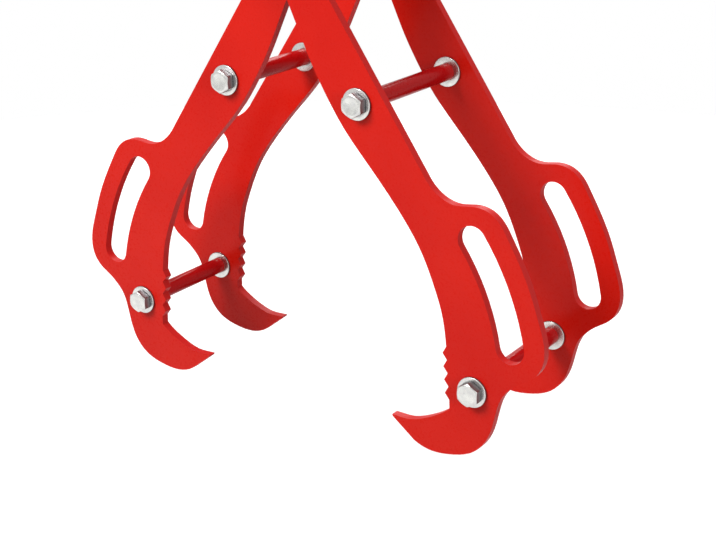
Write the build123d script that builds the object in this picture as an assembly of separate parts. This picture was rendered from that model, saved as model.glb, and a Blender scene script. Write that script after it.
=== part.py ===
from build123d import *
import os
from math import cos, radians, sin, sqrt, tan

# A four-claw log grapple that hangs from a swivelling lifting eye. Two pairs of flat arms
# cross like scissors on a centre pivot. Each pair ends below in two toothed claws with hand
# slots, and above in a joint that two flat links tie to the apex joint under the hanger.
# Millimetres, +Z up, origin at the centre of the lifting eye's hole. X runs across the jaws,
# Y along the log. The arms stand at the opening that the photograph shows.

# Claw arms: flat plates, outlines given from the centre pivot
plate_thickness = 8.0
bar_edge_round = 0.5         # links and hanger plates
claw_reach = 255.0           # centre plane to the back of the handle
claw_drop = 429.5            # centre pivot to the lowest point of the claw
arm_lean = 30.0              # degrees from vertical, pivot to upper bolt, at rest
upper_bolt_radius = 150.0    # centre pivot to upper bolt
top_joint_radius = 150.0     # centre pivot to top joint
upper_arm_width = 40.0
pivot_boss_margin = 4.0      # round the pivot, past half the arm's width
boss_blend_radius = 20.0
lower_bolt_shares = (0.744, 0.846)

# Shares of claw_reach and claw_drop along the arm's edges, from the pivot down and back up
inner_edge_shares = [
    (0.096, 0.214), (0.163, 0.287), (0.234, 0.351), (0.342, 0.425), (0.469, 0.514),
    (0.544, 0.581), (0.596, 0.651), (0.639, 0.758)]
teeth_top_shares = (0.64, 0.764)
teeth_bottom_shares = (0.655, 0.877)
mouth_corner_shares = (0.656, 0.896)
claw_mouth_shares = [(0.643, 0.903), (0.627, 0.91), (0.555, 0.933), (0.502, 0.943), (0.429, 0.943)]
claw_tip_shares = (0.431, 0.947)
outer_edge_shares = [
    (0.517, 0.987), (0.58, 1.0), (0.662, 0.997), (0.751, 0.977), (0.796, 0.947), (0.82, 0.91),
    (0.836, 0.869), (0.856, 0.84), (0.884, 0.821), (0.912, 0.807), (0.956, 0.79), (0.987, 0.768),
    (1.0, 0.736), (0.974, 0.668), (0.935, 0.605), (0.858, 0.518), (0.825, 0.489), (0.792, 0.474),
    (0.733, 0.467), (0.676, 0.471), (0.627, 0.465), (0.586, 0.45), (0.549, 0.424)]
root_inner_shares = (-0.071, 0.0)
root_outer_shares = (0.064, 0.0)
tooth_count = 4
tooth_depth = 4.0
tooth_peak_share = 0.5       # of the pitch, from each tooth's start
tooth_round = 0.8

# Hand slots, curved with the handle
slot_width = 26.5
slot_bow = 5.1
slot_top_shares = (0.729, 0.536)
slot_bottom_shares = (0.876, 0.739)

# Width of the two pairs, the inner pair inside the outer pair
inner_clear_width = 111.0
pair_gap = 6.5
face_clearance = 0.25        # each side of a piece that turns between two plates
running_clearance = 0.05     # radial, sleeve in a turning bore
fixed_clearance = 0.25       # radial, bolt in a hole or tube

# Half-inch fasteners of the arms, the top joints and the apex
bolt_diameter = 12.7
bolt_flats = 19.0
bolt_head_height = 8.0
nut_height = 12.0
nut_collar_share = 0.3       # of the nut's height, the round collar of the locking ring
washer_diameter = 27.5
washer_thickness = 2.5
bolt_end_length = 3.0        # past the nut
bolt_end_chamfer = 1.2
nut_ring_share = 0.9         # of the flats, the collar's diameter
face_circle_share = 0.95     # of the flats, the flat circle on a head's end
corner_slope = 60.0          # degrees from the axis, the cut across a head's corners
head_turn = 30.0             # degrees, flats to the left and right

# Centre pivot fasteners
pivot_bolt_diameter = 16.0
pivot_bolt_flats = 24.0
pivot_head_height = 10.0
pivot_nut_height = 16.0
pivot_washer_diameter = 34.0
pivot_washer_thickness = 3.0
pivot_sleeve_diameter = 25.0

# Spacer tubes and turning sleeves
tube_diameter = 15.9
sleeve_diameter = 19.0
spacer_diameter = 26.0
gap_washer_diameter = 40.0

# Links
link_width = 38.0

# Hanger, two plates from the sway joint in the yoke down to the apex joint
hanger_length = 62.0
hanger_width = 38.0

# Yoke, an inverted U on the sway joint
yoke_inner_width = 50.0
yoke_cheek = 10.0
yoke_length = 46.0
yoke_clear_height = 54.0     # sway joint's centre to the underside of the bridge
yoke_bridge = 16.0
yoke_corner_radius = 12.0
yoke_inner_radius = 6.0
yoke_edge_round = 1.5

# Swivel and lifting eye
shank_diameter = 24.0
bush_wall = 3.0
bush_flange_diameter = 44.0
bush_flange_thickness = 4.0
collar_diameter = 44.0
collar_height = 9.0
eye_hole_diameter = 36.0
eye_diameter = 72.0
eye_thickness = 24.0
eye_edge_round = 7.0
eye_hole_round = 3.0
eye_neck_blend = 6.0
eye_height = 44.0            # collar top to the centre of the hole
neck_diameter = 34.0
thrust_washer_diameter = 36.0
thrust_washer_thickness = 4.0
eye_thread_diameter = 20.0
eye_nut_flats = 30.0
eye_nut_height = 16.0
nut_slot_width = 5.0
nut_slot_depth = 5.0
cotter_diameter = 4.0
cotter_overhang = 4.0        # past the nut's corners, each side
cotter_head_diameter = 7.0
shank_end_length = 3.0       # past the nut

overrun = 1.0                # how far a cutter runs past the face it opens

# Places worked out from the sizes above
link_length = top_joint_radius
link_drop = link_length * cos(radians(arm_lean))
link_spread = link_length * sin(radians(arm_lean))
bridge_top = yoke_clear_height + yoke_bridge
sway_z = -(bridge_top + bush_flange_thickness + face_clearance + collar_height + eye_height)
apex_z = sway_z - hanger_length
top_joint_z = apex_z - link_drop
pivot_z = top_joint_z - top_joint_radius * cos(radians(arm_lean))

inner_face = inner_clear_width / 2
inner_outside = inner_face + plate_thickness
outer_inside = inner_outside + pair_gap
outer_face = outer_inside + plate_thickness
left_link_outside = outer_inside - face_clearance
left_link_inside = left_link_outside - plate_thickness
right_link_outside = left_link_inside - pair_gap
right_link_inside = right_link_outside - plate_thickness
cheek_inside = yoke_inner_width / 2
cheek_outside = cheek_inside + yoke_cheek
hanger_outside = cheek_inside - face_clearance
hanger_inside = hanger_outside - plate_thickness


def claw_point(shares):
    """Place on the right arm, from the centre pivot, for shares of the claw's reach and drop."""
    return (shares[0] * claw_reach, -shares[1] * claw_drop)


def bar(x, z, diameter, y_low, y_high):
    """Round bar along Y."""
    return Pos(x, (y_low + y_high) / 2, z) * Rot(90, 0, 0) * Cylinder(diameter / 2, y_high - y_low)


def ring(x, z, diameter, hole, y_low, y_high):
    """Tube or washer along Y."""
    bore = bar(x, z, hole, y_low - overrun, y_high + overrun)
    return bar(x, z, diameter, y_low, y_high) - bore


def mirrored_pair(piece):
    """The piece and its mirror image at the other side of the centre plane between front and rear."""
    return [piece, mirror(piece, Plane.XZ)]


def group(pieces):
    """Separate solids of one node."""
    return Compound(children=[solid for piece in pieces for solid in piece.solids()])


def plate(sketch, y_low):
    """Flat plate from a sketch drawn in X and Z."""
    return extrude(Plane.XZ.offset(-(y_low + plate_thickness)) * sketch, plate_thickness)


def tooth_points(start, end):
    """Zigzag from one end of the gripping edge to the other, peaks towards the log."""
    across = (end[0] - start[0], end[1] - start[1])
    length = sqrt(across[0] ** 2 + across[1] ** 2)
    outward = (across[1] / length, -across[0] / length)
    points = [start]
    for tooth in range(tooth_count):
        peak = (tooth + tooth_peak_share) / tooth_count
        valley = (tooth + 1) / tooth_count
        points.append((
            start[0] + peak * across[0] + tooth_depth * outward[0],
            start[1] + peak * across[1] + tooth_depth * outward[1]))
        points.append((start[0] + valley * across[0], start[1] + valley * across[1]))
    return points


def run(start, end):
    """Direction from one point to the next."""
    return Vector(*end) - Vector(*start)


def hand_slot():
    """Curved slot through the handle, the same width all along."""
    top = Vector(*claw_point(slot_top_shares))
    bottom = Vector(*claw_point(slot_bottom_shares))
    along = (bottom - top).normalized()
    bowed = (top + bottom) / 2 + Vector(-along.Y, along.X) * slot_bow
    return SlotArc(ThreePointArc(top, bowed, bottom), slot_width)


def arm_sketch(pivot_hole, top_hole):
    """Outline of the right-hand arm about the centre pivot, with its slot and holes."""
    inner = [claw_point(shares) for shares in inner_edge_shares]
    mouth = [claw_point(shares) for shares in claw_mouth_shares]
    outer = [claw_point(shares) for shares in outer_edge_shares]
    root_inner = claw_point(root_inner_shares)
    root_outer = claw_point(root_outer_shares)
    tip = claw_point(claw_tip_shares)
    teeth = tooth_points(claw_point(teeth_top_shares), claw_point(teeth_bottom_shares))
    corner = claw_point(mouth_corner_shares)
    edges = [
        Line(root_inner, inner[0]),
        Spline(*inner, tangents=(run(root_inner, inner[0]), run(inner[-1], teeth[0]))),
        Polyline(inner[-1], *teeth, corner, mouth[0]),
        Spline(*mouth, tangents=(run(corner, mouth[0]), run(mouth[-2], mouth[-1]))),
        Polyline(mouth[-1], tip, outer[0]),
        Spline(*outer),
        Line(outer[-1], root_outer),
        Line(root_outer, root_inner)]
    lower = make_face(edges)
    gripping = lower.vertices().filter_by(
        lambda point: mouth[0][1] + tooth_round < point.Y < inner[-1][1] - tooth_round)
    lower = fillet(gripping, tooth_round)
    top = (-top_joint_radius * sin(radians(arm_lean)), top_joint_radius * cos(radians(arm_lean)))
    upper = Pos(top[0] / 2, top[1] / 2) * Rot(0, 0, arm_lean + 90) * SlotCenterToCenter(
        top_joint_radius, upper_arm_width)
    boss_radius = upper_arm_width / 2 + pivot_boss_margin
    arm = lower + Circle(boss_radius) + upper
    near_boss = arm.vertices().filter_by(
        lambda point: sqrt(point.X ** 2 + point.Y ** 2) < boss_radius + boss_blend_radius)
    arm = fillet(near_boss, boss_blend_radius)
    bolt_hole = Circle(bolt_diameter / 2 + fixed_clearance)
    along_arm = upper_bolt_radius / top_joint_radius
    arm -= Pos(-top[0] * along_arm, -top[1] * along_arm) * bolt_hole
    arm -= Pos(*claw_point(lower_bolt_shares)) * bolt_hole
    arm -= Pos(*top) * Circle(top_hole / 2)
    arm -= Circle(pivot_hole / 2)
    return arm - hand_slot()


def set_on(piece, x, y, z, outward):
    """Place a piece built along +Z with its seat at z = 0, so that it points to -Y or +Y from y."""
    return Pos(x, y, z) * Rot(-outward * 90, 0, 0) * piece


def hex_body(flats, height):
    """Six-sided body whose corners are cut back to a circle on its far end."""
    circle = face_circle_share * flats / 2
    flare = circle + height * tan(radians(corner_slope))
    hexagon = extrude(RegularPolygon(flats / 2, 6, major_radius=False, rotation=head_turn), height)
    return hexagon & (Pos(0, 0, height / 2) * Cone(flare, circle, height))


def lock_nut(flats, height, hole):
    """Hexagon with the round collar of its locking ring on top."""
    collar = height * nut_collar_share
    ring_radius = nut_ring_share * flats / 2
    body = extrude(RegularPolygon(flats / 2, 6, major_radius=False, rotation=head_turn), height - collar)
    body += Pos(0, 0, height / 2) * Cylinder(ring_radius, height)
    return body - Pos(0, 0, height / 2) * Cylinder(hole / 2, height + 2 * overrun)


def through_bolt(x, z, diameter, flats, head_height, seat, end):
    """Hex bolt with its head's seat at y = seat, running back to y = end."""
    shank = bar(x, z, diameter, seat, end)
    shank = chamfer(shank.edges().group_by(Axis.Y)[-1], bolt_end_chamfer)
    return shank + set_on(hex_body(flats, head_height), x, seat, z, -1)


def joint_set(x, z, face):
    """Half-inch bolt, washers and nut that clamp on two outer faces at y = -face and y = face."""
    hole = bolt_diameter + 2 * fixed_clearance
    seat = face + washer_thickness
    end = seat + nut_height + bolt_end_length
    bolt = through_bolt(x, z, bolt_diameter, bolt_flats, bolt_head_height, -seat, end)
    washer = ring(x, z, washer_diameter, hole, face, seat)
    nut = set_on(lock_nut(bolt_flats, nut_height, hole), x, seat, z, 1)
    return bolt, mirrored_pair(washer), nut


def tube_set(x, z, face):
    """Spacer tube between two inner faces, with a washer at each end."""
    hole = bolt_diameter + 2 * fixed_clearance
    end = face - washer_thickness
    washer = ring(x, z, washer_diameter, hole, end, face)
    return ring(x, z, tube_diameter, hole, -end, end), mirrored_pair(washer)


def arm_pair(side, face, pivot_hole):
    """Front and rear arm of one pair. side is 1 for the right claws and -1 for the left ones."""
    sketch = arm_sketch(pivot_hole, bolt_diameter + 2 * fixed_clearance)
    arm = Pos(0, 0, pivot_z) * plate(sketch, face)
    if side < 0:
        arm = mirror(arm, Plane.YZ)
    return mirror(arm, Plane.XZ), arm


def bar_pair(length, width, place, inside):
    """Front and rear round-ended bar with a hole for a turning sleeve at each end."""
    holes = GridLocations(length, 0, 2, 1) * Circle(sleeve_diameter / 2 + running_clearance)
    rear = plate(place * (SlotCenterToCenter(length, width) - holes), inside)
    faces = rear.faces().sort_by(Axis.Y)
    rear = fillet(faces[0].edges() + faces[-1].edges(), bar_edge_round)
    return mirror(rear, Plane.XZ), rear


def link_pair(side, inside):
    """Front and rear link from the top joint on one side up to the apex joint."""
    place = Pos(side * link_spread / 2, apex_z - link_drop / 2) * Rot(0, 0, 90 + side * arm_lean)
    return bar_pair(link_length, link_width, place, inside)


def yoke():
    """Inverted U: two cheeks on the sway joint and a bridge that carries the swivel."""
    cheek_radius = yoke_length / 2
    profile = Pos(0, sway_z + bridge_top / 2) * Rectangle(yoke_length, bridge_top)
    profile += Pos(0, sway_z) * Circle(cheek_radius)
    body = extrude(Plane.XZ.offset(-cheek_outside) * profile, 2 * cheek_outside)
    body = fillet(body.edges().filter_by(Axis.X).group_by(Axis.Z)[-1], yoke_corner_radius)
    well_height = yoke_clear_height + cheek_radius + overrun
    well = Pos(0, 0, sway_z + yoke_clear_height - well_height / 2) * Box(
        yoke_length + 2 * overrun, yoke_inner_width, well_height)
    well = fillet(well.edges().filter_by(Axis.X).group_by(Axis.Z)[-1], yoke_inner_radius)
    body -= well
    cheek_faces = body.faces().sort_by(Axis.Y)
    body = fillet(cheek_faces[0].edges() + cheek_faces[-1].edges(), yoke_edge_round)
    half = cheek_outside + overrun
    body -= bar(0, sway_z, bolt_diameter + 2 * fixed_clearance, -half, half)
    bush_bore = shank_diameter + 2 * bush_wall + 2 * running_clearance
    return body - Pos(0, 0, sway_z + bridge_top) * Cylinder(bush_bore / 2, 2 * (yoke_bridge + overrun))


def bush():
    """Flanged bronze bush in the bridge, its flange on top."""
    low = sway_z + yoke_clear_height
    sleeve_height = yoke_bridge + bush_flange_thickness
    body = Pos(0, 0, low + sleeve_height / 2) * Cylinder(shank_diameter / 2 + bush_wall, sleeve_height)
    body += Pos(0, 0, sway_z + bridge_top + bush_flange_thickness / 2) * Cylinder(
        bush_flange_diameter / 2, bush_flange_thickness)
    bore = Cylinder(shank_diameter / 2 + running_clearance, sleeve_height + 2 * overrun)
    return body - Pos(0, 0, low + sleeve_height / 2) * bore


def lifting_eye(shoulder, thread_end, cotter_z):
    """Forged round eye on a collar and shank, with a thinner threaded end for the nut."""
    outline = Circle(eye_diameter / 2) + Pos(0, -eye_height / 2) * Rectangle(neck_diameter, eye_height)
    neck_corners = outline.vertices().filter_by(
        lambda corner: -eye_height < corner.Y < -eye_hole_diameter / 2)
    outline = fillet(neck_corners, eye_neck_blend)
    eye = extrude(Plane.XZ.offset(-eye_thickness / 2) * outline, eye_thickness)
    faces = eye.faces().sort_by(Axis.Y)
    rims = (faces[0].edges() + faces[-1].edges()).filter_by(
        lambda edge: edge.center().Z > -eye_height + eye_edge_round)
    eye = fillet(rims, eye_edge_round)
    eye -= bar(0, 0, eye_hole_diameter, -eye_thickness, eye_thickness)
    mouths = eye.edges().filter_by(GeomType.CIRCLE).filter_by(
        lambda edge: abs(edge.radius - eye_hole_diameter / 2) < running_clearance)
    eye = fillet(mouths, eye_hole_round)
    collar_low = -eye_height - collar_height
    eye += Pos(0, 0, collar_low + collar_height / 2) * Cylinder(collar_diameter / 2, collar_height)
    eye += Pos(0, 0, (collar_low + shoulder) / 2) * Cylinder(shank_diameter / 2, collar_low - shoulder)
    eye += Pos(0, 0, (shoulder + thread_end) / 2) * Cylinder(eye_thread_diameter / 2, shoulder - thread_end)
    cotter_hole = Pos(0, 0, cotter_z) * Rot(0, 90, 0) * Cylinder(
        cotter_diameter / 2 + fixed_clearance, eye_thread_diameter + 2 * overrun)
    return eye - cotter_hole


def slotted_nut(top):
    """Hex nut with its slots facing down, where the cotter pin passes."""
    hexagon = RegularPolygon(eye_nut_flats / 2, 6, major_radius=False, rotation=head_turn)
    nut = Pos(0, 0, top - eye_nut_height) * extrude(hexagon, eye_nut_height)
    bore_radius = eye_thread_diameter / 2 + fixed_clearance
    nut -= Pos(0, 0, top) * Cylinder(bore_radius, 2 * (eye_nut_height + overrun))
    slot_box = Box(2 * eye_nut_flats, nut_slot_width, 2 * nut_slot_depth)
    for turn in range(3):
        nut -= Pos(0, 0, top - eye_nut_height) * Rot(0, 0, turn * 60) * slot_box
    return nut


def cotter_pin(z):
    """Pin through the slotted nut and the threaded end, with a round head on one side."""
    length = eye_nut_flats / cos(radians(30)) + 2 * cotter_overhang
    pin = Pos(0, 0, z) * Rot(0, 90, 0) * Cylinder(cotter_diameter / 2, length)
    return pin + Pos(length / 2, 0, z) * Sphere(cotter_head_diameter / 2)


nodes = {}

# Claw arms, the right pair outside the left pair
sleeve_bore = pivot_sleeve_diameter + 2 * running_clearance
pivot_bolt_hole = pivot_bolt_diameter + 2 * fixed_clearance
nodes["claw_arm_front_right"], nodes["claw_arm_rear_right"] = arm_pair(1, outer_inside, pivot_bolt_hole)
nodes["claw_arm_front_left"], nodes["claw_arm_rear_left"] = arm_pair(-1, inner_face, sleeve_bore)

# Bolts, tubes, washers and nuts of each pair, and its top joint
upper_x = upper_bolt_radius * sin(radians(arm_lean))
upper_z = pivot_z - upper_bolt_radius * cos(radians(arm_lean))
lower_x, lower_drop = claw_point(lower_bolt_shares)
for name, side, inside, outside, link_inside in (
        ("right", 1, outer_inside, outer_face, left_link_inside),
        ("left", -1, inner_face, inner_outside, right_link_inside)):
    upper_bolt, washers, upper_nut = joint_set(side * upper_x, upper_z, outside)
    upper_tube, tube_washers = tube_set(side * upper_x, upper_z, inside)
    lower_bolt, lower_washers, lower_nut = joint_set(side * lower_x, pivot_z + lower_drop, outside)
    lower_tube, lower_tube_washers = tube_set(side * lower_x, pivot_z + lower_drop, inside)
    top_x = -side * link_spread
    top_bolt, top_washers, top_nut = joint_set(top_x, top_joint_z, outside)
    spacer_end = link_inside - face_clearance
    nodes[f"upper_tube_{name}"] = upper_tube
    nodes[f"lower_tube_{name}"] = lower_tube
    nodes[f"upper_bolt_{name}"] = upper_bolt
    nodes[f"lower_bolt_{name}"] = lower_bolt
    nodes[f"top_bolt_{name}"] = top_bolt
    nodes[f"arm_nuts_{name}"] = group([upper_nut, lower_nut, top_nut])
    nodes[f"head_washers_{name}"] = group(washers + lower_washers + top_washers)
    nodes[f"tube_washers_{name}"] = group(tube_washers + lower_tube_washers)
    nodes[f"top_sleeve_{name}"] = ring(
        top_x, top_joint_z, sleeve_diameter, bolt_diameter + 2 * fixed_clearance, -inside, inside)
    nodes[f"top_spacer_{name}"] = ring(
        top_x, top_joint_z, spacer_diameter, sleeve_diameter + 2 * fixed_clearance, -spacer_end, spacer_end)

# Centre pivot
pivot_seat = outer_face + pivot_washer_thickness
nodes["pivot_bolt"] = through_bolt(
    0, pivot_z, pivot_bolt_diameter, pivot_bolt_flats, pivot_head_height,
    -pivot_seat, pivot_seat + pivot_nut_height + bolt_end_length)
pivot_nut = lock_nut(pivot_bolt_flats, pivot_nut_height, pivot_bolt_hole)
nodes["pivot_nut"] = set_on(pivot_nut, 0, pivot_seat, pivot_z, 1)
nodes["pivot_sleeve"] = ring(
    0, pivot_z, pivot_sleeve_diameter, pivot_bolt_hole, -outer_inside, outer_inside)
nodes["pivot_washers"] = group(mirrored_pair(
    ring(0, pivot_z, pivot_washer_diameter, pivot_bolt_hole, outer_face, pivot_seat)))
nodes["pivot_gap_washers"] = group(mirrored_pair(ring(
    0, pivot_z, gap_washer_diameter, pivot_sleeve_diameter + 2 * fixed_clearance,
    inner_outside + face_clearance, outer_inside - face_clearance)))

# Links from the top joints to the apex, the left pair outside the right pair
nodes["link_front_left"], nodes["link_rear_left"] = link_pair(-1, left_link_inside)
nodes["link_front_right"], nodes["link_rear_right"] = link_pair(1, right_link_inside)

# Apex joint
apex_bolt, apex_washers, apex_nut = joint_set(0, apex_z, outer_inside)
loose_hole = sleeve_diameter + 2 * fixed_clearance
nodes["apex_bolt"] = apex_bolt
nodes["apex_nut"] = apex_nut
nodes["apex_washers"] = group(apex_washers)
nodes["apex_sleeve"] = ring(
    0, apex_z, sleeve_diameter, bolt_diameter + 2 * fixed_clearance, -outer_inside, outer_inside)
nodes["apex_gap_washers"] = group(mirrored_pair(ring(
    0, apex_z, link_width, loose_hole,
    right_link_outside + face_clearance, left_link_inside - face_clearance)))
nodes["apex_side_spacers"] = group(mirrored_pair(ring(
    0, apex_z, spacer_diameter, loose_hole, hanger_outside, right_link_inside - face_clearance)))
nodes["apex_centre_spacer"] = ring(0, apex_z, spacer_diameter, loose_hole, -hanger_inside, hanger_inside)

# Hanger between the apex joint and the sway joint, which is clamped in the yoke
hanger_place = Pos(0, (apex_z + sway_z) / 2) * Rot(0, 0, 90)
nodes["hanger_front"], nodes["hanger_rear"] = bar_pair(
    hanger_length, hanger_width, hanger_place, hanger_inside)
sway_bolt, sway_washers, sway_nut = joint_set(0, sway_z, cheek_outside)
nodes["sway_bolt"] = sway_bolt
nodes["sway_nut"] = sway_nut
nodes["sway_washers"] = group(sway_washers)
nodes["sway_sleeve"] = ring(
    0, sway_z, sleeve_diameter, bolt_diameter + 2 * fixed_clearance, -cheek_inside, cheek_inside)
nodes["sway_spacer"] = ring(0, sway_z, spacer_diameter, loose_hole, -hanger_inside, hanger_inside)

# Yoke, swivel and lifting eye
shoulder_z = sway_z + yoke_clear_height - thrust_washer_thickness - face_clearance
thread_end_z = shoulder_z - eye_nut_height - shank_end_length
cotter_z = shoulder_z - eye_nut_height + nut_slot_depth / 2
nodes["swivel_yoke"] = yoke()
nodes["swivel_bush"] = bush()
nodes["lifting_eye"] = lifting_eye(shoulder_z, thread_end_z, cotter_z)
nodes["eye_thrust_washer"] = Pos(0, 0, shoulder_z + thrust_washer_thickness / 2) * (
    Cylinder(thrust_washer_diameter / 2, thrust_washer_thickness)
    - Cylinder(shank_diameter / 2 + fixed_clearance, thrust_washer_thickness + 2 * overrun))
nodes["eye_nut"] = slotted_nut(shoulder_z)
nodes["eye_cotter_pin"] = cotter_pin(cotter_z)

os.makedirs("parts", exist_ok=True)
for node, shape in nodes.items():
    export_step(shape, f"parts/{node}.step")
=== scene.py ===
"""Looks of a four-claw log grapple that hangs from a swivelling eye.

The flat arms, links, tubes, yoke and eye keep their modelled solids and get painted, plated
and turned finishes. Bolts, nuts, washers and the split pin are surfaces worked out here,
because their threads, rounded corners and bent ends show. Metres, +Z up, X across the jaws.
"""

import math

import bmesh
import bpy
import numpy as np
from bpy.props import FloatProperty, FloatVectorProperty, PointerProperty
from mathutils import Matrix, Vector


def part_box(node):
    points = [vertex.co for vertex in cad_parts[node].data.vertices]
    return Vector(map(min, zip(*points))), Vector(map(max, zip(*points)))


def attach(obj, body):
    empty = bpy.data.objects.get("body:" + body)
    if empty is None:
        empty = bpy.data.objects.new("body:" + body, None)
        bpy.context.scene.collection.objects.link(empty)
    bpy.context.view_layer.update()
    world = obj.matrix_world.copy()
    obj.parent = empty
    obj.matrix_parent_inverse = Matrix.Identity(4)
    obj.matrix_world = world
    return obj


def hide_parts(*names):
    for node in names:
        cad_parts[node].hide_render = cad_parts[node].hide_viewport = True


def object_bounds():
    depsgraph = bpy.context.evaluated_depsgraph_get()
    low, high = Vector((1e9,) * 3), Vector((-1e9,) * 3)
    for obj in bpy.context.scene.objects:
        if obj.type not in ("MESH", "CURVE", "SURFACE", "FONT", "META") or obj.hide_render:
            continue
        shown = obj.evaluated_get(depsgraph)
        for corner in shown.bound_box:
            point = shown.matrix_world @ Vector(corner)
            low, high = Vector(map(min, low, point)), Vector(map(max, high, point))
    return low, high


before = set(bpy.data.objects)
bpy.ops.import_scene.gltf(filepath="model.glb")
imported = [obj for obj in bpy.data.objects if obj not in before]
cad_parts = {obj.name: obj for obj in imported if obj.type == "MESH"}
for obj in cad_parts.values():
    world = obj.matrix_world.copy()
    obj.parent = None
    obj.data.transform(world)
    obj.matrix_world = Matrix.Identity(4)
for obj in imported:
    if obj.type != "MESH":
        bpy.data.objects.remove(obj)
cad_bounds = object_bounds()

bl_info = {
    "name": "Log Grapple",
    "version": (1, 0, 0),
    "blender": (4, 5, 0),
    "location": "View3D > Sidebar > Log Grapple",
    "description": "Finishes, threaded hardware and studio for a hanging four-claw log grapple",
    "category": "Add Mesh",
}

MM = 0.001
TURN = 2 * math.pi
SIDES = ("right", "left")

# Joints of the head and of the crossing, each with the body that its bolt belongs to
JOINTS = {"apex": "hanger", "sway": "yoke", "pivot": "right_arms"}

# Turned forms: points round the axis, rows of a bend, and how they are joined and shaded
COLUMNS = 96
BEND_ROWS = 7
MERGE_DISTANCE = 0.01 * MM
SHORTEST_EDGE = 0.001 * MM
SHARP_ANGLE = math.radians(38)

# Heads and nuts: their chamfer's circle as a share of the flats, and the chamfer's slope
CIRCLE_SHARE = 0.95
CHAMFER_SLOPE = math.tan(math.radians(60))

# Lamps: name, setting of its power, width of its disc, place seen from the grapple's middle
LAMPS = (
    ("key_lamp", "key_power", 1.0, (-0.75, -1.8, 1.25)),
    ("fill_lamp", "fill_power", 1.0, (2.3, -1.0, 0.3)),
    ("top_lamp", "top_power", 1.2, (0.2, 0.2, 2.3)),
    ("rim_lamp", "rim_power", 1.3, (-0.8, 1.9, 1.2)),
)


# Sizes and colours that a user would change

def colour(name, description, default):
    """Colour property, red, green and blue in scene-linear values."""
    return FloatVectorProperty(
        name=name, description=description, default=default, subtype="COLOR", min=0, max=1)


def length(name, description, default):
    """Length property in metres."""
    return FloatProperty(
        name=name, description=description, default=default, min=0, unit="LENGTH", precision=5)


def angle(name, description, degrees):
    """Angle property, its default given in degrees."""
    return FloatProperty(
        name=name, description=description, default=math.radians(degrees), subtype="ANGLE")


def power(name, description, default):
    """Power of a lamp in watts."""
    return FloatProperty(
        name=name, description=description, default=default, min=0, unit="POWER")


def share(name, description, default):
    """Plain number from nothing to one."""
    return FloatProperty(name=name, description=description, default=default, min=0, max=1)


class PaintSettings(bpy.types.PropertyGroup):
    """Powder coat of the arms, links, tubes and yoke."""

    red: colour("Red", "Colour of the powder coat", (0.680, 0.013, 0.006))
    deep_red: colour("Deep red", "Colour where the coat lies thickest", (0.625, 0.010, 0.005))
    # Edge red is painted shade: a darker red for the plates' side walls, where less light falls.
    edge_shade_red: colour("Edge red", "Colour of the thin coat on cut edges", (0.570, 0.009, 0.007))
    # The tube reds are darker copies of the coat's red: painted shade, as the tubes carry the
    # same paint as the arms.
    tube_shaded_red: colour("Tube red", "Colour of the coat on the round tubes", (0.475, 0.005, 0.006))
    tube_shaded_deep_red: colour("Tube deep red", "Thickest coat on the tubes", (0.440, 0.005, 0.006))
    roughness: share("Roughness", "Roughness of the coat", 0.28)
    edge_roughness: share("Edge roughness", "Roughness added on the cut edges", 0.22)
    sheen: share("Sheen", "Strength of the coat's own gloss", 0.11)
    tube_sheen: share("Tube sheen", "Strength of the gloss on the round tubes", 0.05)
    gloss: share("Gloss", "Weight of the clear layer on the coat", 0.05)
    gloss_roughness: share("Gloss roughness", "Roughness of the clear layer", 0.10)
    peel_size: length("Peel size", "Distance between the soft dimples of the coat", 0.0026)
    peel_depth: length("Peel depth", "Depth of the soft dimples", 0.000010)
    cut_pitch: length("Cut pitch", "Distance between the cutter's lines on an edge", 0.0011)
    cut_depth: length("Cut depth", "Depth of the cutter's lines under the coat", 0.00004)


class MetalSettings(bpy.types.PropertyGroup):
    """Colours of the plated, turned and galvanised pieces."""

    zinc: colour("Zinc", "Bright zinc plate on bolts, nuts and washers", (0.61, 0.61, 0.58))
    zinc_shade: colour("Zinc shade", "Duller patches of the zinc plate", (0.50, 0.50, 0.49))
    # Zinc side: painted shade, a much darker zinc on the sides of heads and nuts.
    zinc_side_shade: colour("Zinc side", "Zinc on the sides of heads and nuts", (0.20, 0.19, 0.20))
    steel: colour("Steel", "Turned sleeves and spacers", (0.55, 0.55, 0.56))
    galvanised: colour("Galvanised", "Hot-dipped forging of the lifting eye", (0.43, 0.44, 0.45))
    bronze: colour("Bronze", "Swivel bush", (0.66, 0.42, 0.20))
    nylon: colour("Nylon", "Locking ring in a nut", (0.10, 0.22, 0.48))


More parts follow.
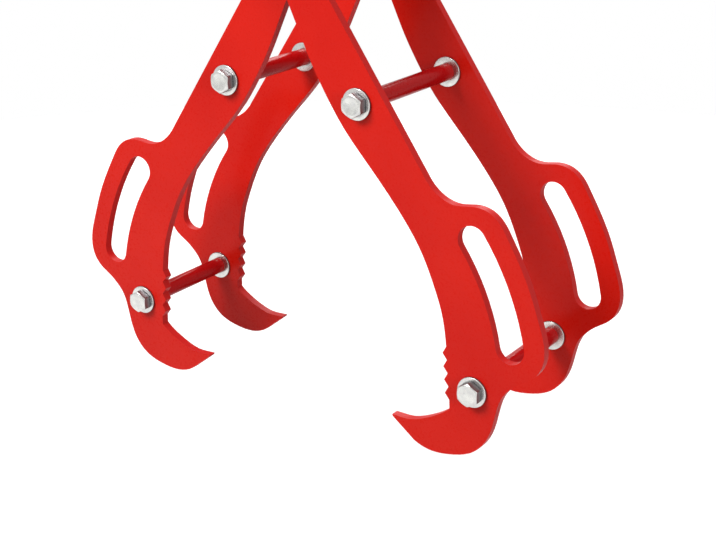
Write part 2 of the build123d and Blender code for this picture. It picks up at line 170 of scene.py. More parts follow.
class HardwareSettings(bpy.types.PropertyGroup):
    """Sizes of the half-inch fasteners and of the larger centre pivot bolt."""

    head_height: length("Head height", "Height of a half-inch bolt's head", 0.008)
    pivot_head_height: length("Pivot head height", "Height of the pivot bolt's head", 0.010)
    bolt_radius: length("Bolt radius", "Outer radius of a half-inch thread", 0.00635)
    pivot_bolt_radius: length(
        "Pivot bolt radius", "Outer radius of the pivot bolt's thread", 0.008)
    bolt_end: length("Bolt end", "Thread that stands past the nut", 0.003)
    bolt_chamfer: length("Bolt chamfer", "Chamfer on the end of the thread", 0.0012)
    pitch: length("Pitch", "Pitch of the threads", 0.001954)
    thread_length: length("Thread length", "Length of the thread that is cut on the bolt", 0.008)
    thread_share: share("Thread share", "Thread depth as a share of the pitch", 0.6134)
    washer_thickness: length("Washer thickness", "Thickness of a half-inch washer", 0.0025)
    pivot_washer_thickness: length(
        "Pivot washer thickness", "Thickness of a pivot washer", 0.003)
    washer_round: length("Washer rounding", "Radius of a washer's stamped edges", 0.00055)
    clearance: length("Clearance", "Gap round a bolt in a nut, washer or tube", 0.00025)
    collar_share: share("Collar share", "Round collar as a share of the nut's height", 0.3)
    ring_height: length("Ring height", "Height of a nut's nylon ring", 0.002)
    ring_width: length("Ring width", "Nylon ring's reach outside the nut's bore", 0.00145)
    ring_sink: length("Ring sink", "Depth of the nylon ring below the collar's top", 0.00055)
    ring_bite: length("Ring bite", "Depth to which the thread bites the ring", 0.0001)
    ring_round: length("Ring rounding", "Radius of the nylon ring's edges", 0.0003)
    wire_radius: length("Wire radius", "Radius of the split pin's two legs together", 0.0019)


class StageSettings(bpy.types.PropertyGroup):
    """Camera, lamps, floor and background."""

    aim: FloatVectorProperty(
        name="Aim", description="Point that the camera looks at", subtype="XYZ", unit="LENGTH",
        default=(0.08032, -0.08698, -0.72173))
    azimuth: angle("Azimuth", "Camera's turn round the grapple", 33.79)
    elevation: angle("Elevation", "Camera's height as an angle", 20.06)
    roll: angle("Roll", "Camera's tilt about its own axis", -0.46)
    distance: length("Distance", "Camera's distance from the point it looks at", 1.24193)
    focal: FloatProperty(
        name="Focal length", description="Lens in millimetres", default=72.88, unit="CAMERA")
    film_width: FloatProperty(
        name="Film width", description="Width of the film in millimetres", default=36.0,
        unit="CAMERA")
    floor_gap: length("Floor gap", "Height of the claws above the floor", 0.25)
    floor_radius: length("Floor radius", "Radius of the round floor", 2.2)
    floor_colour: colour("Floor", "Colour of the floor where it is seen", (0.75, 0.75, 0.75))
    floor_bounce: colour(
        "Floor bounce", "Colour that the floor throws back", (0.24, 0.24, 0.24))
    floor_glow: share(
        "Floor glow", "White that the floor adds at its middle where it is seen", 0.33)
    rim_glow: share("Rim glow", "White that the floor adds at its rim where it is seen", 0.70)
    glow_start: length("Glow start", "Distance at which the floor's glow starts to grow", 0.4)
    backdrop: colour("Backdrop", "Colour of the background", (1.0, 1.0, 1.0))
    world_light: FloatProperty(
        name="World light", description="Strength of the even light from all sides",
        default=0.30, min=0)
    key_power: power("Key", "Power of the main lamp", 52.0)
    fill_power: power("Fill", "Power of the side lamp", 21.0)
    top_power: power("Top", "Power of the overhead lamp", 20.0)
    rim_power: power("Rim", "Power of the lamp behind", 24.0)


# Meshes

def grid_faces(rows, columns, wrap_rows, start):
    """Quad corners of a grid whose columns close round and whose rows may close too."""
    row = np.arange(rows if wrap_rows else rows - 1)[:, None]
    column = np.arange(columns)[None, :]
    next_row, next_column = (row + 1) % rows, (column + 1) % columns
    corners = np.stack(np.broadcast_arrays(
        row * columns + column, row * columns + next_column,
        next_row * columns + next_column, next_row * columns + column), axis=-1)
    return corners.reshape(-1, 4) + start


def mesh_piece(name, grids, material):
    """Object of one mesh from grids of points, each given with whether its rows close too.

    Points closer than a hundredth of a millimetre are merged, so that a row that has shrunk to
    the axis becomes one pole, and the faces are then turned outwards.
    """
    points, faces, count = [], [], 0
    for grid, wrap_rows in grids:
        rows, columns = grid.shape[:2]
        faces.append(grid_faces(rows, columns, wrap_rows, count))
        points.append(grid.reshape(-1, 3))
        count += rows * columns
    mesh = bpy.data.meshes.new(name)
    mesh.from_pydata(np.concatenate(points).tolist(), [], np.concatenate(faces).tolist())
    work = bmesh.new()
    work.from_mesh(mesh)
    bmesh.ops.remove_doubles(work, verts=work.verts, dist=MERGE_DISTANCE)
    bmesh.ops.dissolve_degenerate(work, edges=work.edges, dist=SHORTEST_EDGE)
    bmesh.ops.recalc_face_normals(work, faces=work.faces)
    work.to_mesh(mesh)
    work.free()
    mesh.shade_smooth()
    mesh.set_sharp_from_angle(angle=SHARP_ANGLE)
    mesh.materials.append(material)
    piece = bpy.data.objects.new(name, mesh)
    bpy.context.scene.collection.objects.link(piece)
    return piece


def add_zinc_piece(name, grids, body, *nodes):
    """Zinc-plated piece that rides on its body in the place of the nodes it stands for."""
    piece = mesh_piece(name, grids, finish("bright_zinc_plate"))
    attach(piece, body)
    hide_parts(*nodes)


# Forms turned about an axis along Y

def turned(x, z, places, radii):
    """Grid about the axis (x, z) along Y: a row at each place, radius free along row and turn.

    Formula: (x + r cos a, place, z + r sin a), with a one turn in even steps over the columns.
    """
    angles = np.arange(COLUMNS) * TURN / COLUMNS
    depth = np.broadcast_to(places[:, None], radii.shape)
    return np.stack([x + radii * np.cos(angles), depth, z + radii * np.sin(angles)], axis=-1)


def turned_rows(x, z, *runs):
    """Grid of several runs of rows, one after another along its profile."""
    places, radii = zip(*runs)
    return turned(x, z, np.concatenate(places), np.concatenate(radii))


def round_rows(places, radii):
    """Rows of plain round radii."""
    return np.asarray(places, float), np.repeat(
        np.asarray(radii, float)[:, None], COLUMNS, axis=1)


def six_sides(flats, sharpness=46.0):
    """Radius of a six-sided bar at each column, flats towards X.

    Formula: half the flats over the p-norm of the cosines to the six flats, which rounds the
    corners as the dies leave them. A larger p makes them sharper.
    """
    angles = np.arange(COLUMNS) * TURN / COLUMNS
    cosines = np.clip(np.cos(angles[:, None] - np.arange(6) * TURN / 6), 0, None)
    return flats / 2 / (cosines ** sharpness).sum(axis=1) ** (1 / sharpness)


def chamfer_height(flats):
    """Height over which the chamfer's cone runs from its circle out to the corners."""
    return (flats / math.sqrt(3) - CIRCLE_SHARE * flats / 2) / CHAMFER_SLOPE


def cut_corners(places, flats, face):
    """Rows of a six-sided bar cut by a cone, as heads and nuts are: the smaller radius.

    Formula: cone radius = circle + distance from the face times the chamfer's slope.
    """
    cone = CIRCLE_SHARE * flats / 2 + np.abs(places - face) * CHAMFER_SLOPE
    return places, np.minimum(six_sides(flats)[None, :], cone[:, None])


def thread_rows(start, end, crest, values):
    """Rows of a single-start thread, cut down by the cone at its end.

    Formula: radius = crest less depth times a clipped triangle wave of place over pitch less
    turn; its first turn fades in, and the cone takes off what stands outside it at the end.
    """
    rows_a_pitch, flat_share = 12, 0.12
    pitch = values.pitch
    depth = values.thread_share * pitch
    places = np.linspace(start, end, int((end - start) / pitch * rows_a_pitch) + 1)
    turns = np.arange(COLUMNS) / COLUMNS
    phase = (places[:, None] / pitch - turns[None, :]) % 1
    wave = np.clip((1 - np.abs(2 * phase - 1) - flat_share) / (1 - 2 * flat_share), 0, 1)
    fade = np.clip((places - start) / pitch, 0, 1)[:, None]
    cone = crest - values.bolt_chamfer + (end - places)[:, None]
    return places, np.minimum(crest - depth * wave * fade, cone)


def bolt_grid(x, z, low, high, radius, flats, head_height, values):
    """Hex bolt from its head's face at y = low to its thread's end at y = high.

    Formula: one profile turned once about the axis, radius against place: dished face, six
    chamfered sides, round flange under the head, plain shank, thread, flat end.
    """
    circle = CIRCLE_SHARE * flats / 2
    seat = low + head_height
    dish, dish_share, rim_share = 0.25 * MM, 0.62, 0.80
    flange, flange_radius, step = 0.5 * MM, 0.46 * flats, 0.4 * MM
    neck, neck_length = radius + 0.2 * MM, 0.3 * MM
    start = high - values.thread_length
    flank_places = np.concatenate([
        low + np.linspace(0, chamfer_height(flats), BEND_ROWS + 2),
        [seat - flange - step, seat - flange]])
    return turned_rows(
        x, z,
        round_rows([low + dish, low + dish, low], [0, dish_share * circle, rim_share * circle]),
        cut_corners(flank_places, flats, low),
        round_rows([seat - flange, seat, seat], [flange_radius, flange_radius, neck]),
        round_rows([seat + neck_length, start], [radius, radius]),
        thread_rows(start, high, radius, values),
        round_rows([high], [0]))


def nut_grid(x, z, seat, height, bore, flats, values):
    """Lock nut that sits at y = seat: six sides, a round collar rolled in over its ring.

    Formula: one closed profile turned once about the axis, radius against place: sink, six
    sides chamfered at both ends, fillet, collar, quarter-round roll, recess, bore.
    """
    top = seat + height
    shoulder = top - height * values.collar_share
    sink_depth, sink_width = 0.6 * MM, 0.8 * MM
    collar, fillet, roll = 0.45 * flats, 0.4 * MM, 1.2 * MM
    mouth, lip, lip_width, recess = bore + 1.5 * MM, 0.5 * MM, 0.3 * MM, 0.9 * MM
    rise = np.linspace(0, chamfer_height(flats), BEND_ROWS)
    bend = np.linspace(0, math.pi / 2, BEND_ROWS)
    return turned_rows(
        x, z,
        round_rows([seat + sink_depth, seat], [bore, bore + sink_width]),
        cut_corners(seat + rise, flats, seat),
        cut_corners(shoulder - rise[::-1], flats, shoulder),
        round_rows([shoulder, shoulder + fillet], [collar + fillet, collar]),
        round_rows(top - roll + roll * np.sin(bend), collar - roll + roll * np.cos(bend)),
        round_rows([top, top - lip, top - recess], [mouth + lip_width, mouth, mouth]),
        round_rows([top - recess], [bore]))


def ring_grid(x, z, low, high, bore, outside, corner):
    """Closed ring along Y with rounded corners.

    Formula: the four corners of its section, each swept through a quarter turn of the corner's
    radius, then turned once about the axis.
    """
    bend = np.linspace(0, math.pi / 2, BEND_ROWS - 2)
    quarter = np.arange(4)[:, None] * math.pi / 2 + bend[None, :]
    centre_out = np.array([1, -1, -1, 1])[:, None]
    centre_up = np.array([1, 1, -1, -1])[:, None]
    half_wall, half_depth = (outside - bore) / 2, (high - low) / 2
    radii = (outside + bore) / 2 + centre_out * (half_wall - corner) + corner * np.cos(quarter)
    places = (high + low) / 2 + centre_up * (half_depth - corner) + corner * np.sin(quarter)
    return turned(x, z, *round_rows(places.ravel(), radii.ravel()))


def washer_rings(x, z, radius, outside, values, *spans):
    """Stamped washers on a bolt of a radius, one for each span along Y, ready for a mesh."""
    bore = radius + values.clearance
    return [
        (ring_grid(x, z, low, high, bore, outside, values.washer_round), True)
        for low, high in spans]


def split_pin_grid(x_head, x_end, z, radius):
    """Half-round wire bent double: two legs side by side, a loop at the head, ends turned back.

    Formula: a half disc carried along a path of straight legs and arcs, its flat side to the
    other leg; the disc's round side points along the path's left-hand normal.
    """
    loop_points, bend_points, section_points = 41, 9, 13
    gap, leg_start = 0.12 * MM, 1.0 * MM
    loop, loop_place, throat_angle = 2.3 * MM, 3.0 * MM, 0.9
    end_length, bend_radius, bend_angle = 8.0 * MM, 3.0 * MM, math.radians(62)
    centre = x_head + loop_place
    sweep = math.pi - math.asin(gap / loop) - throat_angle
    turn = np.linspace(sweep, -sweep, loop_points)
    loop_path = np.stack([centre + loop * np.cos(turn), loop * np.sin(turn)], axis=-1)
    bend = np.linspace(0, bend_angle, bend_points)
    bent = np.stack([
        x_end - bend_radius * np.sin(bend), gap + bend_radius * (1 - np.cos(bend))], axis=-1)
    tip = bent[-1] + end_length * np.array([-math.cos(bend_angle), math.sin(bend_angle)])
    leg = np.concatenate([[tip], bent[::-1], [[x_head - leg_start, gap]]])
    path = np.concatenate([leg, loop_path, (leg * [1, -1])[::-1]])
    along = np.gradient(path, axis=0)
    along /= np.linalg.norm(along, axis=1)[:, None]
    left = np.stack([-along[:, 1], along[:, 0]], axis=-1)
    arc = np.linspace(-math.pi / 2, math.pi / 2, section_points)
    out = np.concatenate([np.cos(arc), [0, 0]]) * radius
    up = np.concatenate([np.sin(arc), [0.5, -0.5]]) * radius
    plan = path[:, None, :] + left[:, None, :] * out[None, :, None]
    height = np.broadcast_to(z + up, plan.shape[:2])
    body = np.concatenate([plan, height[..., None]], axis=-1)
    head_cap, end_cap = (
        np.repeat(body[row].mean(axis=0)[None, None], body.shape[1], axis=1) for row in (0, -1))
    return np.concatenate([head_cap, body, end_cap])


# Materials

class Nodes:
    """Short way to add shader nodes and link them."""

    def __init__(self, name):
        self.material = bpy.data.materials.new(name)
        self.material.use_nodes = True
        self.tree = self.material.node_tree
        self.shader = self.tree.nodes["Principled BSDF"]
        self.output = self.tree.nodes["Material Output"]
        self.place = self.add("ShaderNodeTexCoord").outputs["Object"]

    def add(self, kind, inputs=None, **values):
        """Node of a kind with its values set and its inputs linked or set."""
        node = self.tree.nodes.new(kind)
        for key, value in values.items():
            setattr(node, key, value)
        for key, value in (inputs or {}).items():
            self.feed(node.inputs[key], value)
        return node

    def feed(self, socket, value):
        """Link a socket from another one, or set its value."""
        if isinstance(value, bpy.types.NodeSocket):
            self.tree.links.new(value, socket)
        else:
            socket.default_value = value

    def noise(self, scale, detail=2.0, roughness=0.5, place=None):
        """Soft noise of a scale in turns per metre."""
        return self.add("ShaderNodeTexNoise", {
            "Vector": place or self.place, "Scale": scale, "Detail": detail,
            "Roughness": roughness}).outputs["Fac"]

    def stretched(self, x=1.0, y=1.0, z=1.0):
        """Places scaled along each axis: a pattern draws out along those with small shares."""
        return self.add("ShaderNodeMapping", {
            "Vector": self.place, "Scale": (x, y, z)}).outputs["Vector"]

    def math(self, operation, first, second=0.0, third=0.0):
        """One sum."""
        return self.add(
            "ShaderNodeMath", {0: first, 1: second, 2: third}, operation=operation).outputs[0]

    def spread(self, value, low, high, out_low=0.0, out_high=1.0):
        """Value between two bounds carried to between two others."""
        return self.add("ShaderNodeMapRange", {
            "Value": value, "From Min": low, "From Max": high, "To Min": out_low,
            "To Max": out_high}).outputs["Result"]

    def off_y(self, face, side):
        """Nothing where the surface looks along Y, one where it looks across it."""
        normal = self.add("ShaderNodeNewGeometry").outputs["Normal"]
        depth = self.add("ShaderNodeSeparateXYZ", {"Vector": normal}).outputs["Y"]
        return self.spread(self.math("ABSOLUTE", depth), face, side)

    def mix(self, factor, first, second):
        """Colour between two colours."""
        node = self.add("ShaderNodeMix", data_type="RGBA")
        self.feed(node.inputs["Factor"], factor)
        self.feed(node.inputs["A"], opaque(first))
        self.feed(node.inputs["B"], opaque(second))
        return node.outputs["Result"]

    def bump(self, height, distance, normal=None):
        """Normal bent by a height that is a share of a distance in metres."""
        inputs = {"Height": height, "Distance": distance, "Strength": 1.0}
        if normal is not None:
            inputs["Normal"] = normal
        return self.add("ShaderNodeBump", inputs).outputs["Normal"]

    def tool_rings(self, **shares):
        """Normal with the fine rings that a turning tool leaves, drawn out by the shares."""
        rings = self.noise(scale=2400.0, place=self.stretched(**shares))
        return self.bump(rings, 0.02 * MM)

    def set(self, **inputs):
        """Set or link the shader's inputs."""
        for name, value in inputs.items():
            self.feed(self.shader.inputs[name.replace("_", " ")], value)


def opaque(value):
    """Three values of a colour with full cover, and a socket as it is."""
    return value if isinstance(value, bpy.types.NodeSocket) else (*value, 1.0)


def darker(light, factor):
    """Colour with each of its values lowered by the same factor."""
    return tuple(factor * value for value in light)


def powder_coat(name, paint, sheen, red, deep_red, edge_shade_red=None):
    """Glossy powder coat: soft dimples, slow drift of the red; on cut edges the cutter's lines
    and a painted shade.
    """
    n = Nodes(name)
    drift = n.spread(n.noise(scale=9.0, detail=3.0), low=0.35, high=0.65)
    shade = n.mix(drift, red, deep_red)
    rough = n.spread(
        n.noise(scale=420.0), low=0.3, high=0.7,
        out_low=paint.roughness - 0.02, out_high=paint.roughness + 0.03)
    cut = None
    if edge_shade_red is not None:
        edge = n.off_y(face=0.75, side=0.35)
        strokes = n.noise(scale=1 / paint.cut_pitch, detail=1.0, place=n.stretched(y=0.04))
        # Painted shade: the side walls get the darker edge red; the cutter's lines and extra
        # roughness there are real.
        shade = n.mix(edge, shade, edge_shade_red)
        rough = n.math("MULTIPLY_ADD", edge, paint.edge_roughness, rough)
        cut = n.bump(n.math("MULTIPLY", strokes, edge), paint.cut_depth)
    dimples = n.noise(scale=1 / paint.peel_size, detail=1.5)
    peel = n.bump(dimples, paint.peel_depth, normal=cut)
    n.set(Base_Color=shade, Roughness=rough, Normal=peel, IOR=1.5, Specular_IOR_Level=sheen)
    n.set(Coat_Weight=paint.gloss, Coat_Roughness=paint.gloss_roughness, Coat_Normal=peel)
    return n.material


def zinc_plate(metal):
    """Bright zinc plate: fine rolled grain, slow drift to duller patches, sides rougher and
    darkened with painted shade.
    """
    side_roughness, grain_depth = 0.14, 0.01 * MM
    n = Nodes("bright_zinc_plate")
    # Sides of heads, nuts and washers: painted shade in their colour, and rougher as well.
    side = n.off_y(face=0.80, side=0.45)
    drift = n.spread(n.noise(scale=160.0, detail=3.0), low=0.35, high=0.65)
    face = n.mix(drift, metal.zinc, metal.zinc_shade)
    grain = n.noise(scale=2600.0, detail=3.0, roughness=0.6)
    rough = n.spread(grain, low=0.25, high=0.75, out_low=0.20, out_high=0.34)
    n.set(Base_Color=n.mix(side, face, metal.zinc_side_shade), Metallic=1.0)
    n.set(Roughness=n.math("MULTIPLY_ADD", side, side_roughness, rough))
    n.set(Normal=n.bump(grain, grain_depth))
    return n.material


def turned_steel(metal):
    """Turned steel under a film of grease: rings of the tool along its length."""
    n = Nodes("turned_steel")
    film = n.noise(scale=120.0, detail=3.0)
    n.set(Base_Color=n.mix(film, metal.steel, darker(metal.steel, 0.8)), Metallic=1.0)
    n.set(Roughness=n.spread(film, low=0.3, high=0.7, out_low=0.24, out_high=0.40))
    n.set(Normal=n.tool_rings(x=0.03, z=0.03))
    return n.material


def turned_bronze(metal):
    """Bronze of the swivel bush, turned about the upright axis and tarnished in patches."""
    n = Nodes("turned_bronze")
    tarnish = n.spread(n.noise(scale=90.0, detail=4.0), low=0.35, high=0.7)
    n.set(Base_Color=n.mix(tarnish, metal.bronze, darker(metal.bronze, 0.6)), Metallic=1.0)
    n.set(Roughness=n.spread(tarnish, low=0.0, high=1.0, out_low=0.26, out_high=0.42))
    n.set(Normal=n.tool_rings(x=0.03, y=0.03))
    return n.material


def galvanised_forging(metal):
    """Hot-dipped forging: crystals of zinc, each a little lighter or darker, on scale pits."""
    pit_depth = 0.12 * MM
    n = Nodes("galvanised_forging")
    crystals = n.add("ShaderNodeTexVoronoi", {"Vector": n.place, "Scale": 170.0})
    grey = n.add("ShaderNodeSeparateColor", {"Color": crystals.outputs["Color"]}).outputs["Red"]
    n.set(Base_Color=n.mix(grey, metal.galvanised, darker(metal.galvanised, 0.78)))
    n.set(Metallic=1.0, Roughness=n.spread(grey, low=0.0, high=1.0, out_low=0.36, out_high=0.52))
    n.set(Normal=n.bump(n.noise(scale=300.0, detail=4.0, roughness=0.6), pit_depth))
    return n.material


def ring_nylon(metal):
    """Moulded nylon of the locking rings."""
    n = Nodes("ring_nylon")
    haze = n.noise(scale=700.0)
    n.set(Base_Color=n.mix(haze, metal.nylon, darker(metal.nylon, 0.85)))
    n.set(Roughness=n.spread(haze, low=0.3, high=0.7, out_low=0.36, out_high=0.46))
    n.set(Subsurface_Weight=0.05)
    return n.material


def finish(kind):
    """Material of a kind, made once."""
    paint, metal = bpy.context.scene.grapple_paint, bpy.context.scene.grapple_metal
    makers = {
        "red_powder_coat": lambda: powder_coat(
            kind, paint, paint.sheen, paint.red, paint.deep_red, paint.edge_shade_red),
        # Tubes: the same coat, with darker reds as painted shade.
        "red_tube_coat": lambda: powder_coat(
            kind, paint, paint.tube_sheen, paint.tube_shaded_red, paint.tube_shaded_deep_red),
        "bright_zinc_plate": lambda: zinc_plate(metal),
        "turned_steel": lambda: turned_steel(metal),
        "galvanised_forging": lambda: galvanised_forging(metal),
        "turned_bronze": lambda: turned_bronze(metal),
        "ring_nylon": lambda: ring_nylon(metal),
    }
    return bpy.data.materials.get(kind) or makers[kind]()


def coat(kind, slot, *names):
    """Give modelled nodes a finish."""
    for name in names:
        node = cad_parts[name]
        node.data.materials.clear()
        node.data.materials.append(finish(kind))


# Places that the frame gives

def along_y(name):
    """Axis, ends and width of a modelled bolt or tube that runs along Y, from its box."""
    low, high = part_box(name)
    return (low.x + high.x) / 2, (low.z + high.z) / 2, low.y, high.y, high.x - low.x


def half_width(name):
    """Half the size of a modelled node along X."""
    low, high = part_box(name)
    return (high.x - low.x) / 2


def bolt_names(side):
    """The three bolts of one pair of arms."""
    return [f"{place}_bolt_{side}" for place in ("upper", "lower", "top")]


def bolt_sizes(name, values):
    """Radius of a bolt, height of its head and thickness of its washers."""
    if name == "pivot_bolt":
        return values.pivot_bolt_radius, values.pivot_head_height, values.pivot_washer_thickness
    return values.bolt_radius, values.head_height, values.washer_thickness


def fitted_on_bolts(arms_piece, joint_piece):
    """Nodes that bolts carry, each with its body and its bolts: by pair of arms, then joint."""
    return [(f"{arms_piece}_{side}", f"{side}_arms", bolt_names(side)) for side in SIDES] + [
        (f"{joint}_{joint_piece}", body, [f"{joint}_bolt"]) for joint, body in JOINTS.items()]


# Operators

class GRAPPLE_OT_paint_steelwork(bpy.types.Operator):
    """Paint the arms, links, tubes, spacers and yoke"""

    bl_idname = "grapple.paint_steelwork"
    bl_label = "Paint Steelwork"

    def execute(self, context):
        names = sorted(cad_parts)
        flat = ("claw_arm", "link_", "hanger_", "swivel_yoke")
        tubes = ("upper_tube", "lower_tube", "top_spacer")
        coat("red_powder_coat", "red_paint", *[name for name in names if name.startswith(flat)])
        coat("red_tube_coat", "red_paint", *[name for name in names if name.startswith(tubes)])
        return {"FINISHED"}


class GRAPPLE_OT_finish_joints(bpy.types.Operator):
    """Give the sleeves, spacers, bush and eye their turned and galvanised finishes"""

    bl_idname = "grapple.finish_joints"
    bl_label = "Finish Joints"

    def execute(self, context):
        coat("turned_steel", "bare_steel", "top_sleeve_right", "top_sleeve_left",
             "pivot_sleeve", "apex_sleeve", "sway_sleeve")
        coat("bright_zinc_plate", "zinc_plate", "pivot_gap_washers", "apex_gap_washers",
             "apex_side_spacers", "apex_centre_spacer", "sway_spacer", "eye_thrust_washer",
             "eye_nut")
        coat("turned_bronze", "bronze", "swivel_bush")
        coat("galvanised_forging", "forged_eye", "lifting_eye")
        return {"FINISHED"}


class GRAPPLE_OT_fit_bolts(bpy.types.Operator):
    """Fit threaded hex bolts in the arms, the joints and the centre pivot"""

    bl_idname = "grapple.fit_bolts"
    bl_label = "Fit Bolts"

    def execute(self, context):
        values = context.scene.grapple_hardware
        bolts = [(name, f"{side}_arms") for side in SIDES for name in bolt_names(side)]
        bolts += [(f"{joint}_bolt", body) for joint, body in JOINTS.items()]
        for name, body in bolts:
            x, z, low, high, flats = along_y(name)
            radius, head, _ = bolt_sizes(name, values)
            grid = bolt_grid(x, z, low, high, radius, flats, head, values)
            add_zinc_piece(f"{name}_threaded", [(grid, False)], body, name)
        return {"FINISHED"}


class GRAPPLE_OT_fit_nuts(bpy.types.Operator):
    """Fit lock nuts with their nylon rings behind the rear plates"""

    bl_idname = "grapple.fit_nuts"
    bl_label = "Fit Nuts"

    def execute(self, context):
        values = context.scene.grapple_hardware
        for name, body, bolts in fitted_on_bolts("arm_nuts", "nut"):
            nuts, rings = [], []
            for bolt in bolts:
                x, z, low, high, flats = along_y(bolt)
                radius, head, _ = bolt_sizes(bolt, values)
                seat = -(low + head)
                height = high - values.bolt_end - seat
                bore = radius + values.clearance
                nuts.append((nut_grid(x, z, seat, height, bore, flats, values), True))
                top = seat + height - values.ring_sink
                ring = ring_grid(
                    x, z, top - values.ring_height, top, radius - values.ring_bite,
                    bore + values.ring_width, values.ring_round)
                rings.append((ring, True))
            add_zinc_piece(f"{name}_collared", nuts, body, name)
            ring_piece = mesh_piece(f"{name}_rings", rings, finish("ring_nylon"))
            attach(ring_piece, body)
        return {"FINISHED"}


class GRAPPLE_OT_fit_washers(bpy.types.Operator):
    """Fit stamped washers under heads and nuts and at the ends of the tubes"""

    bl_idname = "grapple.fit_washers"
    bl_label = "Fit Washers"

    def execute(self, context):
        values = context.scene.grapple_hardware
        for name, body, bolts in fitted_on_bolts("head_washers", "washers"):
            rings = []
            for bolt in bolts:
                x, z, low, _, _ = along_y(bolt)
                radius, head, thickness = bolt_sizes(bolt, values)
                outside = half_width("pivot_washers" if bolt == "pivot_bolt" else "apex_washers")
                seat = -(low + head)
                rings += washer_rings(
                    x, z, radius, outside, values, (seat - thickness, seat),
                    (-seat, thickness - seat))
            add_zinc_piece(f"{name}_stamped", rings, body, name)
        outside, thickness = half_width("apex_washers"), values.washer_thickness
        for side in SIDES:
            rings = []
            for tube in (f"upper_tube_{side}", f"lower_tube_{side}"):
                x, z, low, high, _ = along_y(tube)
                rings += washer_rings(
                    x, z, values.bolt_radius, outside, values, (low - thickness, low),
                    (high, high + thickness))
            name = f"tube_washers_{side}"
            add_zinc_piece(f"{name}_stamped", rings, f"{side}_arms", name)
        return {"FINISHED"}


class GRAPPLE_OT_bend_split_pin(bpy.types.Operator):
    """Fit the split pin that keeps the eye's nut from turning"""

    bl_idname = "grapple.bend_split_pin"
    bl_label = "Bend Split Pin"

    def execute(self, context):
        radius = context.scene.grapple_hardware.wire_radius
        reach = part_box("eye_nut")[1].y
        low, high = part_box("eye_cotter_pin")
        grid = split_pin_grid(reach, -reach, (low.z + high.z) / 2, radius)
        add_zinc_piece("eye_split_pin", [(grid, False)], "eye", "eye_cotter_pin")
        return {"FINISHED"}


class GRAPPLE_OT_set_stage(bpy.types.Operator):
    """Set the camera, the lamps, the floor and the background"""

    bl_idname = "grapple.set_stage"
    bl_label = "Set Stage"

    def execute(self, context):
        scene, values = context.scene, context.scene.grapple_stage
        scene.view_settings.view_transform = "Standard"
        place_camera(scene, values)
        light_world(scene, values)
        lay_floor(scene, values)
        hang_lamps(scene, values)
        return {"FINISHED"}


def camera_axes(values):
    """The camera's right, up and back as unit vectors, from its turn, height and tilt."""
    a, e, r = values.azimuth, values.elevation, values.roll
    back = Vector((math.sin(a) * math.cos(e), -math.cos(a) * math.cos(e), math.sin(e)))
    right = Vector((math.cos(a), math.sin(a), 0))
    up = back.cross(right)
    return right * math.cos(r) + up * math.sin(r), up * math.cos(r) - right * math.sin(r), back


def place_camera(scene, values):
    """Camera that looks at the aim from its distance, as the photograph was taken."""
    axes = camera_axes(values)
    place = Vector(values.aim) + axes[2] * values.distance
    camera = bpy.data.objects.new("camera", bpy.data.cameras.new("camera"))
    camera.data.sensor_width = values.film_width
    camera.data.lens = values.focal
    camera.matrix_world = Matrix.Translation(place) @ Matrix(axes).transposed().to_4x4()
    scene.collection.objects.link(camera)
    scene.camera = camera


def seen_directly(tree):
    """One for rays from the camera, from a gloss or through glass, else nothing."""
    path = tree.nodes.new("ShaderNodeLightPath")
    total = path.outputs["Is Camera Ray"]
    for name in ("Is Glossy Ray", "Is Transmission Ray"):
        larger = tree.nodes.new("ShaderNodeMath")
        larger.operation = "MAXIMUM"
        tree.links.new(total, larger.inputs[0])
        tree.links.new(path.outputs[name], larger.inputs[1])
        total = larger.outputs[0]
    return total


def light_world(scene, values):
    """Even light from all sides, and the white background wherever it is seen."""
    world = scene.world or bpy.data.worlds.new("studio")
    scene.world = world
    world.use_nodes = True
    tree = world.node_tree
    tree.nodes.clear()
    light, shown = (tree.nodes.new("ShaderNodeBackground") for _ in range(2))
    light.inputs["Color"].default_value = (1, 1, 1, 1)
    light.inputs["Strength"].default_value = values.world_light
    shown.inputs["Color"].default_value = opaque(values.backdrop)
    mix = tree.nodes.new("ShaderNodeMixShader")
    output = tree.nodes.new("ShaderNodeOutputWorld")
    tree.links.new(seen_directly(tree), mix.inputs[0])
    tree.links.new(light.outputs[0], mix.inputs[1])
    tree.links.new(shown.outputs[0], mix.inputs[2])
    tree.links.new(mix.outputs[0], output.inputs["Surface"])


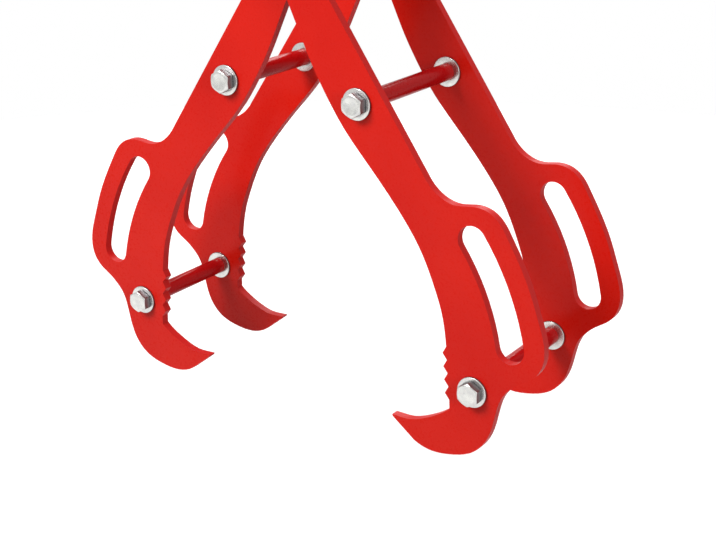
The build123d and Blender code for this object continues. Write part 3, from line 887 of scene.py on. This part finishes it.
def lay_floor(scene, values):
    """Pale round floor below the claws, open to a view from underneath.

    Formula of its rim: (r cos a, r sin a). Where it is seen directly it adds a glow to its own
    shade, more towards the rim, so it comes out as white as the background and keeps the shadow.
    """
    z = cad_bounds[0].z - values.floor_gap
    angles = np.arange(COLUMNS) * TURN / COLUMNS
    rim = np.stack([np.cos(angles), np.sin(angles)], axis=-1) * values.floor_radius
    mesh = bpy.data.meshes.new("floor")
    mesh.from_pydata([(x, y, z) for x, y in rim.tolist()], [], [tuple(range(COLUMNS))])
    n = Nodes("pale_floor")
    seen_shade = n.mix(n.noise(scale=2.0), values.floor_colour, darker(values.floor_colour, 0.98))
    direct = seen_directly(n.tree)
    n.set(Base_Color=n.mix(direct, values.floor_bounce, seen_shade))
    n.set(Roughness=0.9, Specular_IOR_Level=0.0)
    level = n.add("ShaderNodeVectorMath", {0: n.place, 1: (1, 1, 0)}, operation="MULTIPLY")
    away = n.add("ShaderNodeVectorMath", {0: level.outputs[0]}, operation="LENGTH")
    strength = n.spread(
        away.outputs["Value"], low=values.glow_start, high=values.floor_radius,
        out_low=values.floor_glow, out_high=values.rim_glow)
    glow = n.add("ShaderNodeEmission", {"Color": opaque(values.backdrop), "Strength": strength})
    both = n.add("ShaderNodeAddShader", {0: glow.outputs[0], 1: n.shader.outputs[0]})
    seen = n.add("ShaderNodeMixShader", {0: direct, 1: n.shader.outputs[0], 2: both.outputs[0]})
    under = n.add("ShaderNodeMixShader", {
        0: n.add("ShaderNodeNewGeometry").outputs["Backfacing"], 1: seen.outputs[0],
        2: n.add("ShaderNodeBsdfTransparent").outputs[0]})
    n.feed(n.output.inputs["Surface"], under.outputs[0])
    mesh.materials.append(n.material)
    floor = bpy.data.objects.new("floor", mesh)
    scene.collection.objects.link(floor)


def hang_lamps(scene, values):
    """Four soft lamps: the main one high at the camera's left, one low at its right, one above
    and one behind that draws streaks on the upper edges.
    """
    centre = (cad_bounds[0] + cad_bounds[1]) / 2
    for name, setting, width, offset in LAMPS:
        data = bpy.data.lights.new(name, "AREA")
        data.shape = "DISK"
        data.size = width
        data.energy = getattr(values, setting)
        lamp = bpy.data.objects.new(name, data)
        lamp.location = centre + Vector(offset)
        lamp.rotation_euler = Vector(offset).to_track_quat("Z", "Y").to_euler()
        scene.collection.objects.link(lamp)


class GRAPPLE_PT_panel(bpy.types.Panel):
    """Sidebar panel of the log grapple"""

    bl_label = "Log Grapple"
    bl_idname = "GRAPPLE_PT_panel"
    bl_space_type = "VIEW_3D"
    bl_region_type = "UI"
    bl_category = "Log Grapple"

    def draw(self, context):
        for operator in OPERATORS:
            self.layout.operator(operator.bl_idname)
        for holder in SETTINGS:
            box = self.layout.box()
            values = getattr(context.scene, holder)
            for key in values.bl_rna.properties.keys():
                if key not in ("rna_type", "name"):
                    box.prop(values, key)


SETTINGS = {
    "grapple_paint": PaintSettings,
    "grapple_metal": MetalSettings,
    "grapple_hardware": HardwareSettings,
    "grapple_stage": StageSettings,
}
OPERATORS = (
    GRAPPLE_OT_paint_steelwork,
    GRAPPLE_OT_finish_joints,
    GRAPPLE_OT_fit_bolts,
    GRAPPLE_OT_fit_nuts,
    GRAPPLE_OT_fit_washers,
    GRAPPLE_OT_bend_split_pin,
    GRAPPLE_OT_set_stage,
)


def register():
    """Add the settings, the operators and the panel."""
    for kind in (*SETTINGS.values(), *OPERATORS, GRAPPLE_PT_panel):
        bpy.utils.register_class(kind)
    for holder, kind in SETTINGS.items():
        setattr(bpy.types.Scene, holder, PointerProperty(type=kind))


def unregister():
    """Take the settings, the operators and the panel away."""
    for holder in SETTINGS:
        delattr(bpy.types.Scene, holder)
    for kind in reversed((*SETTINGS.values(), *OPERATORS, GRAPPLE_PT_panel)):
        bpy.utils.unregister_class(kind)


def main():
    """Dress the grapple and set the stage."""
    register()
    bpy.ops.grapple.paint_steelwork()
    bpy.ops.grapple.finish_joints()
    bpy.ops.grapple.fit_bolts()
    bpy.ops.grapple.fit_nuts()
    bpy.ops.grapple.fit_washers()
    bpy.ops.grapple.bend_split_pin()
    bpy.ops.grapple.set_stage()


if __name__ == "__main__":
    main()
